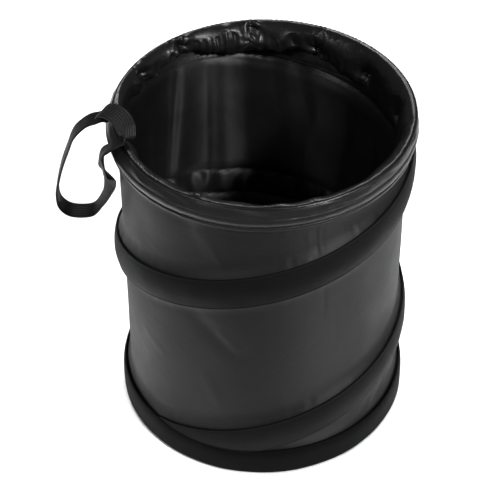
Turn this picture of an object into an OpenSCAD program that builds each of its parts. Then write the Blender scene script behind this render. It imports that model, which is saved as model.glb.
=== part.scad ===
// Foldable trash bin for a car: a fabric cylinder held open by a spiral wire,
// with a gathered rim facing and a webbing loop to hang it from.
// Origin: centre of the base on the floor. +Z up, front is -Y, the hanging loop is on the -X side.

/* [Overall size] */
// Outside diameter over the rim, the spiral sleeve and the base band
bin_diameter = 200; // [150:1:260]
// Height from the floor to the top of the rim
bin_height = 240; // [180:1:320]

/* [Fabric and wire] */
// Thickness of the body, lining, sleeve and band fabric
fabric_thickness = 0.6; // [0.4:0.1:1]
// Diameter of the coated spring wire
wire_diameter = 2; // [1.2:0.1:3]
// Play of the wire inside its fabric sleeve
sleeve_slack = 0.4; // [0.4:0.1:1.5]

/* [Rim] */
// Height of the fabric casing round the rim wire
rim_band_height = 17.5; // [14:0.5:24]
// Height of the facing strip turned over to the outside of the rim
rim_turnover = 1.5; // [1:0.5:4]
// How far the facing domes up over the rim before it hangs down inside
facing_dome = 1.5; // [0:0.1:2]
// Mean depth of the loose gathered facing inside the rim
facing_depth = 20; // [14:0.5:30]
// How much deeper and shallower the facing hangs on its two sides
facing_unevenness = 8; // [0:0.5:10]
// Number of gathers round the facing
facing_gathers = 31; // [20:1:44]
// Depth of one gather at the loose lower edge
gather_depth = 1.8; // [0.4:0.1:2.4]

/* [Base] */
// Height of the base band
base_band_height = 22; // [14:0.5:34]
// Thickness of the floor panel
floor_thickness = 1.2; // [0.8:0.1:3]

/* [Spiral] */
// Width of the sleeve that carries the spiral wire
sleeve_width = 25; // [14:0.5:32]
// Turns of the spiral from the base to the rim
spiral_turns = 1.72; // [1.5:0.01:1.8]
// Direction in which the spiral leaves the base band, in degrees
spiral_start = 210; // [180:1:230]
// How much steeper the spiral is at the base than at the rim
spiral_bow = 0.2; // [0:0.01:0.3]
// How far each turn leans down towards the back right
spiral_lean = 6.8; // [0:0.1:9]

/* [Hanging strap] */
// Width of the ribbed webbing
webbing_width = 14; // [10:0.5:16]
// Thickness of the webbing
webbing_thickness = 1.2; // [0.8:0.1:1.4]
// How far the loop hangs below the rim
strap_drop = 88; // [80:1:110]
// How far the loop stands out from the rim
strap_reach = 35; // [30:1:50]
// Turn of the strap's ring on the rim, seen from above
strap_skew = 20; // [0:1:24]

/* [Hidden] */

ft = fabric_thickness;
gap = 0.2;                                     // play between neighbouring layers
bulge = wire_diameter + ft + sleeve_slack;     // how far the sleeves stand out
rim_r = bin_diameter / 2;
wall_r = rim_r - bulge;                        // outside of the body fabric
lining_r = wall_r - ft - gap;                  // outside of the lining
wire_r = wall_r + sleeve_slack / 2 + wire_diameter / 2;
seat_r = wall_r + gap + ft;                    // outside of a sleeve where it is sewn down
lift = rim_r - seat_r;                         // rise of a sleeve from its seam to its crown
rim_low = bin_height - rim_band_height;        // lower edge of the rim casing
casing_seam = rim_low + 0.155 * rim_band_height;    // seam under the wire, over the loose hem
rim_wire_z = rim_low + 0.49 * rim_band_height;
base_wire_z = 3 + wire_diameter;
lining_z = floor_thickness + 0.3;
slit_drop = rim_band_height + 2.9;             // the strap's way through the wall, below the rim
slit_z = bin_height - slit_drop;
lean = bulge + 2.2;                            // how far the rim casing leans in at its top
lean_z = rim_low + 0.535 * rim_band_height;    // where it begins to lean in
lean_rise = 0.505 * rim_band_height;
wall_top = rim_low + 0.6 * rim_band_height;
strap_y = -6.5;                                // middle of the strap's ring along the rim
az_step = 6;                                   // degrees between the sections of a spiral piece

// Direction and height of the spiral at share s of its way up; it leans less near both ends
function spiral_angle(s) = spiral_start - 360 + 360 * spiral_turns * s;
function spiral_fade(s) = max(0, 1 - pow(abs(2 * s - 1), 8));
function spiral_z(s) = base_wire_z + (rim_wire_z - base_wire_z) * (s + spiral_bow * s * (1 - s))
    - spiral_lean * sin(spiral_angle(s) - 49) * spiral_fade(s);
spiral_n = ceil(360 * spiral_turns / az_step);
spiral_s = [for (i = [0 : spiral_n + 9]) i / spiral_n];    // runs on to where the sleeve ends

// Profile point to space at an azimuth
function at(az, r, z) = [r * cos(az), r * sin(az), z];
// Smooth curve through four neighbouring points
function blend4(a, b, c, d, t) = 0.5 * (2 * b + (c - a) * t + (2 * a - 5 * b + 4 * c - d) * t * t
    + (3 * b - a - 3 * c + d) * t * t * t);
function unit(v) = v / norm(v);

// Solid skin over equal rings of points; looped joins the last ring to the first
module skin(rings, looped = false) {
    n = len(rings);
    m = len(rings[0]);
    last = looped ? n - 1 : n - 2;
    sides = [for (i = [0 : last]) for (j = [0 : m - 1])
        let (a = i * m + j, b = ((i + 1) % n) * m + j,
             c = ((i + 1) % n) * m + (j + 1) % m, d = i * m + (j + 1) % m)
        each [[a, b, c], [a, c, d]]];
    ends = looped ? [] : [[for (j = [0 : m - 1]) j],
                          [for (j = [m - 1 : -1 : 0]) (n - 1) * m + j]];
    polyhedron(points = [for (r = rings) each r], faces = concat(sides, ends), convexity = 10);
}

// Slit that lets the strap through the wall and the lining, under the rim casing
module strap_slit() {
    translate([-wall_r, strap_y, slit_z]) rotate([0, 0, -strap_skew])
        cube([16, webbing_width + 2.4, webbing_thickness + 0.8], center = true);
}

module body_wall() {
    color([0.19, 0.19, 0.2]) difference() {
        rotate_extrude($fn = 180) translate([wall_r - ft, ft + gap])
            square([ft, wall_top - ft - gap]);
        strap_slit();
    }
}

// Liner bag: wall and floor in one piece
module lining() {
    color([0.12, 0.12, 0.13]) difference() {
        rotate_extrude($fn = 180) polygon([[0, lining_z], [lining_r, lining_z],
            [lining_r, wall_top], [lining_r - ft, wall_top],
            [lining_r - ft, lining_z + ft], [0, lining_z + ft]]);
        strap_slit();
    }
}

module floor_panel() {
    color([0.16, 0.16, 0.17]) cylinder(r = wall_r - 3.9, h = floor_thickness, $fn = 180);
}

module hoop(z) {
    rotate_extrude($fn = 180) translate([wire_r, z]) circle(d = wire_diameter, $fn = 24);
}

module base_hoop() {
    color([0.5, 0.5, 0.52]) hoop(base_wire_z);
}

module rim_hoop() {
    color([0.5, 0.5, 0.52]) hoop(rim_wire_z);
}

// Spiral wire between the base band and the rim casing
module spiral_spring() {
    low = base_band_height + wire_diameter / 2 + 0.4;
    high = rim_low - wire_diameter / 2 - 0.4;
    color([0.5, 0.5, 0.52]) skin([for (s = spiral_s) let (z = spiral_z(s)) if (z > low && z < high)
        [for (k = [0 : 7]) at(spiral_angle(s), wire_r + wire_diameter / 2 * cos(45 * k),
            z - wire_diameter / 2 * sin(45 * k))]]);
}

// Flat sleeve over the spiral wire, sewn down along both edges and tucked in at both ends
module spiral_sleeve() {
    low = base_band_height + 0.3;
    high = rim_low - 0.3;
    half = sleeve_width / 2;
    across = [-1, -0.8, -0.5, 0, 0.5, 0.8, 1];   // stations over its width
    color([0.12, 0.12, 0.13]) skin([for (s = spiral_s) let (z = spiral_z(s))
        if (z + half > low + 0.8 && z - half < high - 0.8)
        let (az = spiral_angle(s), top = min(z + half, high), bottom = max(z - half, low),
             line = [for (a = across) bottom + (top - bottom) * (a + 1) / 2],
             rise = [for (v = line) lift * pow(cos(90 * min(1, abs(v - z) / half)), 0.8)])
        concat([for (k = [6 : -1 : 0]) at(az, seat_r + rise[k], line[k])],
               [for (k = [0 : 6]) at(az, seat_r - ft + rise[k], line[k])])]);
}

// Band over the base hoop: rounded over the wire, turned in under the floor's edge
module base_band() {
    h = base_band_height;
    crown = 0.42 * h;
    corner = 3;
    function shape(t) = concat(
        [for (a = [0 : 15 : 90]) [seat_r - t + lift * sin(a), h - t * cos(a) - crown * (1 - cos(a))]],
        [for (a = [0 : 18 : 90]) [rim_r - corner + (corner - t) * cos(a),
                                  corner - (corner - t) * sin(a)]]);
    color([0.12, 0.12, 0.13]) rotate_extrude($fn = 180)
        polygon(concat(shape(0), [[wall_r - 3.6, 0], [wall_r - 3.6, ft]],
            [for (i = [len(shape(ft)) - 1 : -1 : 0]) shape(ft)[i]]));
}

// Fabric casing round the rim wire: a doubled hem, a seam sunk under the wire, and the casing
module rim_casing() {
    function shape(t) = concat(
        t == 0 ? [[seat_r + 0.4, rim_low], [seat_r + 0.4, casing_seam - 0.6]]
               : [[seat_r - t, rim_low]],
        [for (a = [0 : 15 : 90]) [seat_r - t + lift * sin(a), casing_seam + t * cos(a)
                                  + 0.34 * rim_band_height * (1 - cos(a))]],
        [for (a = [0 : 12 : 60]) [rim_r - t - lean + lean * cos(a),
                                  lean_z + (lean_rise - t) * sin(a)]],
        [[rim_r - lean + 0.6 - 0.5 * t, rim_low + 0.92 * rim_band_height - t]]);
    color([0.15, 0.15, 0.16]) rotate_extrude($fn = 180)
        polygon(concat(shape(0), [for (i = [len(shape(ft)) - 1 : -1 : 0]) shape(ft)[i]]));
}

// Gathered facing: turned over the rim's edge, loose inside the bin, cut short at the strap
function from_strap(az) = abs(((az + 360) % 360) - 185);
function facing_drop(az) = max(8, min(facing_depth + facing_unevenness * cos(az - 20)
    + 0.9 * sin(7 * az), 14.5 + 0.5 * max(0, from_strap(az) - 12)));
function gather(az) = (1 - 0.7 * exp(-pow(from_strap(az) / 15, 2)))
    * (0.65 * sin(facing_gathers * az + 50 * sin(3 * az))
    + 0.35 * sin(round(facing_gathers * 0.58) * az + 30));
function casing_edge(a, out) = let (n = unit([cos(a) / lean, sin(a) / lean_rise]))
    [rim_r - lean + lean * cos(a) + out * n[0], lean_z + lean_rise * sin(a) + out * n[1]];
function dome(az) = facing_dome * (1 - exp(-pow(from_strap(az) / 13, 2)));
// Centre line of the sheet at an azimuth, each point with its share of the gather depth
function facing_line(az) = let (start = 60 - 8 * rim_turnover, low = facing_drop(az), up = dome(az))
    concat([for (a = [start, (start + 60) / 2, 60]) concat(casing_edge(a, 0.4), [0.04])],
        [[rim_r - lean + 1, bin_height - 0.3 + 0.7 * up, 0.08],
         [rim_r - lean - 0.8, bin_height - 0.5 + 1.1 * up, 0.12],
         [rim_r - lean - 2.7, bin_height - 1.6 + 0.9 * up, 0.22],
         [rim_r - lean - 3.7, bin_height - 5, 0.45]],
        [for (f = [0.45, 1]) [rim_r - lean - 3.7 + 0.8 * f, bin_height - 5 - (low - 5) * f,
                              0.45 + 0.55 * f]]);
module rim_facing() {
    t = 0.2;
    count = 180;
    color([0.17, 0.17, 0.18]) skin([for (i = [0 : count - 1]) let (az = 360 / count * i,
        line = facing_line(az), last = len(line) - 1, g = gather_depth * gather(az),
        side = [for (k = [0 : last]) let (d = line[min(k + 1, last)] - line[max(k - 1, 0)])
            unit([d[1], -d[0]])])
        concat([for (k = [0 : last]) at(az, line[k][0] + g * line[k][2] - t * side[k][0],
                                        line[k][1] - t * side[k][1])],
               [for (k = [last : -1 : 0]) at(az, line[k][0] + g * line[k][2] + t * side[k][0],
                                             line[k][1] + t * side[k][1])])], looped = true);
}

// Points that the webbing passes through, each with the direction of its width.
// The ring goes over the rim, down inside and out through the slit; the loop hangs outside.
function ring_point(u, z) = [[-wall_r + u * cos(strap_skew), strap_y - u * sin(strap_skew),
    bin_height + z], [sin(strap_skew), cos(strap_skew), 0]];
function loop_point(out, y, down, w) = [[-rim_r - out, y, bin_height - down], w];
function drop(f) = strap_drop * f;
function reach(f) = strap_reach * f;
strap_line = [
    ring_point(-8.6, -4), ring_point(-4.8, -1.7), ring_point(-0.5, 1.3), ring_point(5, 1.6),
    ring_point(9.8, 0.9), ring_point(12.6, -2.2), ring_point(13.5, -8),
    ring_point(13.5, -0.66 * slit_drop), ring_point(12.4, 2.4 - slit_drop),
    ring_point(8.5, -slit_drop), ring_point(0, -slit_drop), ring_point(-4.6, -slit_drop - 0.9),
    ring_point(-7.4, -slit_drop - 5.6),
    loop_point(4, -4, max(drop(0.39), slit_drop + 11), [0.05, 1, 0]),
    loop_point(4.6, -2.5, drop(0.48) + 1, [-0.45, 0.9, 0]),
    loop_point(3.4, -1, drop(0.6), [-0.6, 0.8, 0]),
    loop_point(2.6, 0, drop(0.71), [-0.55, 0.83, 0]),
    loop_point(reach(0.13), 0, drop(0.82), [-0.15, 1, 0.1]),
    loop_point(reach(0.3), 0, drop(0.93), [0, 1, 0]),
    loop_point(reach(0.56), 0, drop(0.985), [0, 1, 0]),
    loop_point(reach(0.84), 0, drop(0.945), [0, 1, 0]),
    loop_point(reach(0.98), 0, drop(0.83), [0, 1, 0]),
    loop_point(reach(0.99), 0, drop(0.66), [0, 1, 0]),
    loop_point(reach(0.93), 0, drop(0.48), [-0.1, 1, 0]),
    loop_point(reach(0.79), -1, drop(0.31), [-0.1, 1, 0]),
    loop_point(reach(0.56), -2, drop(0.175), [0, 1, 0]),
    loop_point(reach(0.3), -3.2, drop(0.09) + 0.3, [0.15, 1, 0]),
    loop_point(1.9, -4.6, 3.8, [sin(strap_skew), cos(strap_skew), 0])];
module hanging_strap() {
    last = len(strap_line) - 1;
    path = [for (i = [0 : last - 1]) for (t = [0, 0.34, 0.67])
        let (q = [for (k = [-1 : 2]) strap_line[max(0, min(last, i + k))]])
        [for (c = [0, 1]) blend4(q[0][c], q[1][c], q[2][c], q[3][c], t)]];
    full = concat(path, [strap_line[last]]);
    end = len(full) - 1;
    color([0.14, 0.14, 0.14]) skin([for (i = [0 : end])
        let (d = unit(full[min(i + 1, end)][0] - full[max(i - 1, 0)][0]),
             w = unit(full[i][1] - (full[i][1] * d) * d), n = cross(d, w),
             a = w * webbing_width / 2, b = n * webbing_thickness / 2, p = full[i][0])
        [p + a + b, p - a + b, p - a - b, p + a - b]]);
}

body_wall();
lining();
floor_panel();
base_hoop();
rim_hoop();
spiral_spring();
spiral_sleeve();
base_band();
rim_casing();
rim_facing();
hanging_strap();
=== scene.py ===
"""Looks of a round pop-up fabric litter bin for a car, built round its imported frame."""

import math

import bmesh
import bpy
import numpy as np
from mathutils import Matrix, Vector


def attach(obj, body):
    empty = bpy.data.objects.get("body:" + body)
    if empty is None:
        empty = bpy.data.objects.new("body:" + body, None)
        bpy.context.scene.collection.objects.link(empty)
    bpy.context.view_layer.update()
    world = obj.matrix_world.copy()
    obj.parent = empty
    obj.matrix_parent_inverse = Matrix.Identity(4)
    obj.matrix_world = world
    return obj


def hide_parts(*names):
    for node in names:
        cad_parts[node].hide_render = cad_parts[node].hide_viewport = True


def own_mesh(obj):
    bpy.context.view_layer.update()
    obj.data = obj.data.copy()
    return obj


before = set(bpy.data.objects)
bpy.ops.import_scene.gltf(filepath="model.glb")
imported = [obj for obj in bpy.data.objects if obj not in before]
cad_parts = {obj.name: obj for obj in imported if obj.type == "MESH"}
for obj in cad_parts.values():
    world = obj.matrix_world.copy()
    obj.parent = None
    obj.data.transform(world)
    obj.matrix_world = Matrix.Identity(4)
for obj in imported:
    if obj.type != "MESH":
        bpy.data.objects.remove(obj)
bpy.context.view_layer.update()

# Sizes of the bin in millimetres, as in the part's source. Outsides of rim, wall and lining, the
# radius that bands and sleeve lie on, and the height
RIM_R, WALL_R, LINING_R, SEAT_R, HEIGHT = 100.0, 97.0, 96.2, 97.8, 240.0
# Thickness of the cloth, of the wire and of the facing, and the radius of the spiral's middle
FABRIC, WIRE, FACING_THICK, WIRE_R = 0.6, 2.0, 0.3, 98.2
# Heights of the rim casing's low edge, of both hoops, of the foot's band, the wall and the floor
RIM_LOW, RIM_WIRE_Z, BASE_WIRE_Z, BASE_BAND = 222.5, 231.075, 5.0, 22.0
WALL_TOP, FLOOR_Z = 233.0, 1.5
# Width of the spiral's sleeve, and how far the wire lifts it
SLEEVE, LIFT = 25.0, 2.2
# The spiral: turns, azimuth of its foot, bow of its climb, how far it leans, and where to
TURNS, START, BOW, LEAN_MM, LEAN_AZ = 1.72, 210.0, 0.2, 6.8, 49.0
WEB_WIDTH, WEB_THICK = 14.0, 1.2
# How far the rim comes down as the bin is pressed flat
COLLAPSE = 195.0
MM = 0.001


def placed(name, data):
    """New object in the scene."""
    obj = bpy.data.objects.new(name, data)
    bpy.context.scene.collection.objects.link(obj)
    return obj


# Camera and soft boxes

def look():
    """Camera that stands where the photograph was taken from, looking down at the bin. The
    angles are in radians and the distance in metres, solved from the outlines of rim and base."""
    pitch, pan, tilt, far = 0.8117, -0.0069646, 0.0676290, 1.27872
    ahead = np.array([0, math.cos(pitch), -math.sin(pitch)])
    up = np.array([0, math.sin(pitch), math.cos(pitch)])
    side = np.array([1.0, 0, 0])
    turned = ahead * math.cos(pan) + side * math.sin(pan)
    side = side * math.cos(pan) - ahead * math.sin(pan)
    view = turned * math.cos(tilt) + up * math.sin(tilt)
    top = up * math.cos(tilt) - turned * math.sin(tilt)
    data = bpy.data.cameras.new("camera")
    data.lens, data.sensor_width = 126.0, 36.0
    data.clip_start, data.clip_end = 0.05, 30
    cam = placed("camera", data)
    cam.matrix_world = Matrix((side, top, -view)).transposed().to_4x4()
    cam.location = (0, -far * math.cos(pitch), far * math.sin(pitch))
    bpy.context.scene.camera = cam


def softbox(name, place, target, size, watts, spread):
    """Soft light; a narrow spread, in degrees, is one with a honeycomb grid on it."""
    data = bpy.data.lights.new(name, "AREA")
    data.spread = math.radians(spread)
    data.shape = "RECTANGLE"
    data.size, data.size_y = size
    data.energy = watts
    lamp = placed(name, data)
    back = Vector(place) - Vector(target)
    lamp.rotation_euler = back.to_track_quat("Z", "Y").to_euler()
    lamp.location = place
    return lamp


look()


# Materials

def colour(hex_value):
    """sRGB hex to the linear colour that a shader takes."""
    parts = [int(hex_value[i:i + 2], 16) / 255 for i in (1, 3, 5)]
    return [c / 12.92 if c <= 0.04045 else ((c + 0.055) / 1.055) ** 2.4 for c in parts] + [1.0]


def node(tree, kind, links=None, **settings):
    """Adds a node, sets what it is given, and fills its inputs with values or links."""
    made = tree.nodes.new(kind)
    for key, value in settings.items():
        setattr(made, key, value)
    for key, value in (links or {}).items():
        if isinstance(value, bpy.types.NodeSocket):
            tree.links.new(value, made.inputs[key])
        else:
            made.inputs[key].default_value = value
    return made


def blank(name):
    """New material, its node tree and the shader in it."""
    mat = bpy.data.materials.new(name)
    mat.use_nodes = True
    return mat, mat.node_tree, mat.node_tree.nodes["Principled BSDF"]


def fabric(name, dark, light, rough, thread, weave, gloss, crumple=0.0, crumple_mm=9.0,
           streak=0.0, spread=0.06, satin=0.0):
    """Woven cloth: two near tones, threads thread mm apart on the piece's own UV in metres,
    fine crumple, and streaks along the cloth's length. satin draws its gloss out upright, as
    the level floats of a satin weave do. Real threads here are about 0.3 mm apart, too fine to
    show, so they are drawn about three times as coarse."""
    mat, tree, shader = blank(name)
    coat = node(tree, "ShaderNodeUVMap", uv_map="cloth").outputs["UV"]
    place = node(tree, "ShaderNodeTexCoord").outputs["Object"]
    parts = node(tree, "ShaderNodeSeparateXYZ", {0: coat}).outputs
    turn = 2 * math.pi / (thread * MM)
    ripples = []
    for axis in (0, 1):
        run = node(tree, "ShaderNodeMath", {0: parts[axis], 1: turn}, operation="MULTIPLY")
        ripple = node(tree, "ShaderNodeMath", {0: run.outputs[0]}, operation="SINE")
        ripples.append(ripple.outputs[0])
    threads = node(tree, "ShaderNodeMath", {0: ripples[0], 1: ripples[1]},
                   operation="MULTIPLY").outputs[0]
    # Clouds some 45 mm across, and a grain of about a millimetre
    cloud = node(tree, "ShaderNodeTexNoise", {"Vector": place, "Scale": 22.0, "Detail": 4.0,
                                              "Roughness": 0.6}).outputs["Fac"]
    grain = node(tree, "ShaderNodeTexNoise", {"Vector": place, "Scale": 900.0, "Detail": 2.0}
                 ).outputs["Fac"]
    mix = node(tree, "ShaderNodeMath", {0: grain, 1: 0.5, 2: cloud}, operation="MULTIPLY_ADD")
    tone = node(tree, "ShaderNodeMapRange", {"Value": mix.outputs[0], "From Min": 0.45,
                                             "From Max": 1.05}).outputs[0]
    # A mix node of colours takes them as its inputs 6 and 7, and gives one as its output 2
    blend = node(tree, "ShaderNodeMix", {"Factor": tone, 6: colour(dark), 7: colour(light)},
                 data_type="RGBA")
    tree.links.new(blend.outputs[2], shader.inputs["Base Color"])
    rub = node(tree, "ShaderNodeMapRange", {"Value": cloud, "From Min": 0.3, "From Max": 0.7,
                                            "To Min": rough - spread, "To Max": rough + spread})
    tree.links.new(rub.outputs[0], shader.inputs["Roughness"])
    shader.inputs["IOR"].default_value = 1.5
    shader.inputs["Specular IOR Level"].default_value = gloss
    if satin:
        shader.inputs["Anisotropic"].default_value = satin
        shader.inputs["Anisotropic Rotation"].default_value = 0.25
        level = node(tree, "ShaderNodeTangent", direction_type="RADIAL", axis="Z")
        tree.links.new(level.outputs[0], shader.inputs["Tangent"])
    reliefs = [(threads, weave, 0.12)]
    if streak:
        # Streaks about a millimetre wide and some 17 mm long
        drawn = node(tree, "ShaderNodeMapping", {"Vector": coat, "Scale": (60.0, 900.0, 1.0)})
        lines = node(tree, "ShaderNodeTexNoise", {"Vector": drawn.outputs[0], "Scale": 1.0,
                                                  "Detail": 3.0}).outputs["Fac"]
        reliefs.append((lines, streak, 0.3))
    if crumple:
        noise = node(tree, "ShaderNodeTexNoise", {"Vector": place, "Scale": 1000 / crumple_mm,
                                                  "Detail": 3.0, "Roughness": 0.55,
                                                  "Distortion": 0.6}).outputs["Fac"]
        reliefs.append((noise, crumple, 1.0))
    # Each relief, with its strength and its depth in mm, lies over the one before
    under = {}
    for height, strength, mm in reliefs:
        bump = node(tree, "ShaderNodeBump", {"Height": height, "Strength": strength,
                                             "Distance": mm * MM, **under})
        under = {"Normal": bump.outputs[0]}
    tree.links.new(bump.outputs[0], shader.inputs["Normal"])
    return mat


def metal(name, tint, rough):
    """Drawn wire, a little rougher here and there."""
    mat, tree, shader = blank(name)
    place = node(tree, "ShaderNodeTexCoord").outputs["Object"]
    # Marks of the drawing die, under 2 mm across
    drawn = node(tree, "ShaderNodeTexNoise", {"Vector": place, "Scale": 600.0, "Detail": 2.0})
    rub = node(tree, "ShaderNodeMapRange", {"Value": drawn.outputs["Fac"], "To Min": rough - 0.08,
                                            "To Max": rough + 0.08})
    tree.links.new(rub.outputs[0], shader.inputs["Roughness"])
    shader.inputs["Base Color"].default_value = colour(tint)
    shader.inputs["Metallic"].default_value = 1.0
    return mat


# Satin-faced woven polyester of the body: thin, dark grey-black, with a soft broad gloss
WALL_CLOTH = fabric("satin_woven_polyester", "#111112", "#1a1a1b", 0.46, thread=0.9, weave=0.25,
                    crumple=0.22, crumple_mm=12, gloss=0.235, streak=0.35, satin=0.85)
# Coated polyester of the lining: smooth, with a dull gloss
LINING_CLOTH = fabric("coated_polyester", "#080809", "#0e0e0f", 0.43, thread=0.9, weave=0.12,
                      crumple=0.22, crumple_mm=14, gloss=0.25, satin=0.85)
# Matte polyester of the spiral's sleeve and the floor: plain weave, hardly any gloss
BAND_CLOTH = fabric("matte_plain_weave_polyester", "#0a0a0b", "#111112", 0.56, thread=1.0,
                    weave=0.5, crumple=0.12, crumple_mm=10, gloss=0.06)
# Band of the foot: the same cloth, its colour made a shade deeper as painted shade low on the bin
SHADED_FOOT_CLOTH = fabric("plain_weave_polyester_painted_shade", "#050506", "#09090a", 0.6, thread=1.0,
                    weave=0.4, crumple=0.12, crumple_mm=10, gloss=0.03)
# Casing of the rim: the body's cloth pulled tight over the hoop
CASING_CLOTH = fabric("tight_satin_polyester", "#121213", "#1b1b1c", 0.38, thread=0.9,
                      weave=0.05, crumple=0.34, crumple_mm=8, gloss=0.3)
# Thin downproof nylon of the gathered facing: glossy, crisp small folds
FACING_CLOTH = fabric("thin_glossy_nylon", "#09090a", "#0f0f10", 0.35, thread=0.8, weave=0.02,
                      crumple=0.26, crumple_mm=4.5, gloss=0.2, spread=0.05)
# Ribbed elastic webbing: dull polyester yarn over rubber, in lengthwise ribs
WEBBING_CLOTH = fabric("ribbed_elastic_webbing", "#090909", "#0f0f0f", 0.5, thread=0.95,
                       weave=0.3, gloss=0.2)
# Twisted polyester sewing thread
THREAD = fabric("polyester_thread", "#050505", "#0a0a0a", 0.6, thread=0.4, weave=0.6, gloss=0.1)
# Drawn spring wire, hidden in its sleeves
STEEL = metal("drawn_spring_wire", "#8a8a8e", 0.32)


# Meshes

def smooth(obj):
    """Shades every face smooth."""
    for face in obj.data.polygons:
        face.use_smooth = True
    return obj


def surface(name, points, uv, material, ring=False, tube=False):
    """Quads over rows of points in mm. ring joins the last column to the first, tube the last
    row. uv holds one more column or row where a side is joined."""
    rows, cols = points.shape[:2]
    a = np.arange(rows * cols).reshape(rows, cols)
    v = np.arange(uv.shape[0] * uv.shape[1]).reshape(uv.shape[:2])
    if ring:
        a = np.hstack([a, a[:, :1]])
    if tube:
        a = np.vstack([a, a[:1]])
    quads = np.stack([a[:-1, :-1], a[:-1, 1:], a[1:, 1:], a[1:, :-1]], -1).reshape(-1, 4)
    marks = np.stack([v[:-1, :-1], v[:-1, 1:], v[1:, 1:], v[1:, :-1]], -1).reshape(-1)
    mesh = bpy.data.meshes.new(name)
    mesh.from_pydata((points.reshape(-1, 3) * MM).tolist(), [], quads.tolist())
    layer = mesh.uv_layers.new(name="cloth")
    layer.data.foreach_set("uv", uv.reshape(-1, 2)[marks].astype(np.float32).ravel())
    mesh.materials.append(material)
    return smooth(placed(name, mesh))


def close(obj, holes, outwards=False):
    """Closes holes, each a run of numbers of points, and turns all faces outwards if asked."""
    bm = bmesh.new()
    bm.from_mesh(obj.data)
    bm.verts.ensure_lookup_table()
    for hole in holes:
        bm.faces.new([bm.verts[i] for i in hole])
    if outwards:
        bmesh.ops.recalc_face_normals(bm, faces=bm.faces)
    bm.to_mesh(obj.data)
    bm.free()
    smooth(obj)


def close_ends(obj, rows, cols):
    """Caps both ends of a tube whose section runs down the rows of its grid."""
    first, last = range(0, rows * cols, cols), range(cols - 1, rows * cols, cols)
    close(obj, [first, last[::-1]], outwards=True)


def baked(obj):
    """Turns an object's modifiers into plain mesh."""
    graph = bpy.context.evaluated_depsgraph_get()
    mesh = bpy.data.meshes.new_from_object(obj.evaluated_get(graph))
    obj.modifiers.clear()
    obj.data = mesh
    return obj


def thicken(obj, mm, offset=-1.0):
    """Gives a sheet its thickness; offset -1 leaves the drawn side outside."""
    mod = obj.modifiers.new("thickness", "SOLIDIFY")
    mod.thickness, mod.offset, mod.use_even_offset = mm * MM, offset, False
    return smooth(baked(obj))


def polar(az, r, z):
    """Points from azimuth in degrees, radius and height."""
    a = np.radians(az)
    return np.stack(np.broadcast_arrays(r * np.cos(a), r * np.sin(a), z), -1)


def unit(v):
    """Vectors brought to length 1."""
    return v / np.linalg.norm(v, axis=-1, keepdims=True)


def length_along(line):
    """Length from the first point of a line to each of its points."""
    return np.r_[0, np.cumsum(np.linalg.norm(np.diff(line, axis=0), axis=-1))]


def cloth_uv(u, v):
    """UV in metres from lengths in mm, u along each row and v down each column."""
    return np.stack(np.broadcast_arrays(u[None, :], v[:, None]), -1) * MM


def hump(x):
    """1 at 0, falling smoothly to 0 on both sides."""
    return np.exp(-x * x)


def turn_from(az, other):
    """Degrees from one azimuth to another, from -180 to 180."""
    return (az - other + 180) % 360 - 180


def around(table, az):
    """Value at an azimuth out of a table of values by azimuth."""
    keys = sorted(table)
    return np.interp(az, keys, [table[k] for k in keys], period=360)


def waves(az, z, seed, count, low, high, up=0.0):
    """Smooth seeded undulation round the bin, from -1 to 1 or so. low and high bound the number
    of waves round it, up is how fast they turn with height."""
    draw = np.random.default_rng(seed)
    total = 0
    for _ in range(count):
        n, phase, turn = draw.integers(low, high + 1), draw.uniform(0, 360), draw.normal(0, up)
        total = total + np.sin(np.radians(n * az + phase + turn * z)) * draw.uniform(0.5, 1)
    return total / math.sqrt(count)


def creases(az, z, radius, marks):
    """Radial relief of single creases: each runs from (az, z) to (az, z), with a height in mm,
    positive outwards, and a half width in mm. Each is a ridge, or a step if it ends so."""
    total = np.zeros(np.broadcast(az, z).shape)
    for a0, z0, a1, z1, height, wide, *step in marks:
        x1, y1 = math.radians(a1 - a0) * radius, z1 - z0
        length = math.hypot(x1, y1)
        x = np.radians(turn_from(az, a0)) * radius
        y = z - z0
        along = (x * x1 + y * y1) / length
        across = (x * y1 - y * x1) / length
        fade = hump(np.clip(np.abs(along - length / 2) / (length / 2), 0, 4) ** 2 * 0.9)
        if step:
            shape = np.tanh(across / wide) * hump(across / (wide * 5))
        else:
            shape = hump(across / wide)
        total += height * shape * fade
    return total


def spiral_angle(s):
    """Azimuth on the spiral, whose share s runs from 0 at its foot to 1 at its top."""
    return START - 360 + 360 * TURNS * s


def spiral_z(s):
    """Height on the spiral. It climbs in a slight bow and leans, but for its ends."""
    fade = np.maximum(0, 1 - np.abs(2 * s - 1) ** 8)
    return BASE_WIRE_Z + (RIM_WIRE_Z - BASE_WIRE_Z) * (s + BOW * s * (1 - s)) \
        - LEAN_MM * np.sin(np.radians(spiral_angle(s) - LEAN_AZ)) * fade


def from_spiral(az, z):
    """Height above the nearest turn of the spiral, in mm."""
    s = np.linspace(-0.1, 1.1, 1300)
    angle, height = spiral_angle(s), spiral_z(s)
    best = np.full(np.broadcast(az, z).shape, 1e3)
    for turn in range(-1, 3):
        at = np.interp((az % 360) + 360 * turn - 360, angle, height, left=1e3, right=1e3)
        gap = z - at
        best = np.where(np.abs(gap) < np.abs(best), gap, best)
    return best


# Wall and lining

# Columns round the bin, and their azimuths
AROUND = 480
COLUMN_AZ = np.linspace(0, 360, AROUND, endpoint=False)[None, :]
# From one stitch to the next on sleeve, lining and foot, and the thread's thickness, in mm
STITCH_STEP, THREAD_MM = 3.2, 0.5
# How far the cloth draws in between the wires, in mm, and over what length
WAIST, WAIST_EASE = 3.7, 10


def eased(gap):
    """Share of the full waist at a distance from what holds the cloth out."""
    return np.sin(np.pi / 2 * np.clip(gap / WAIST_EASE, 0, 1))


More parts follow.
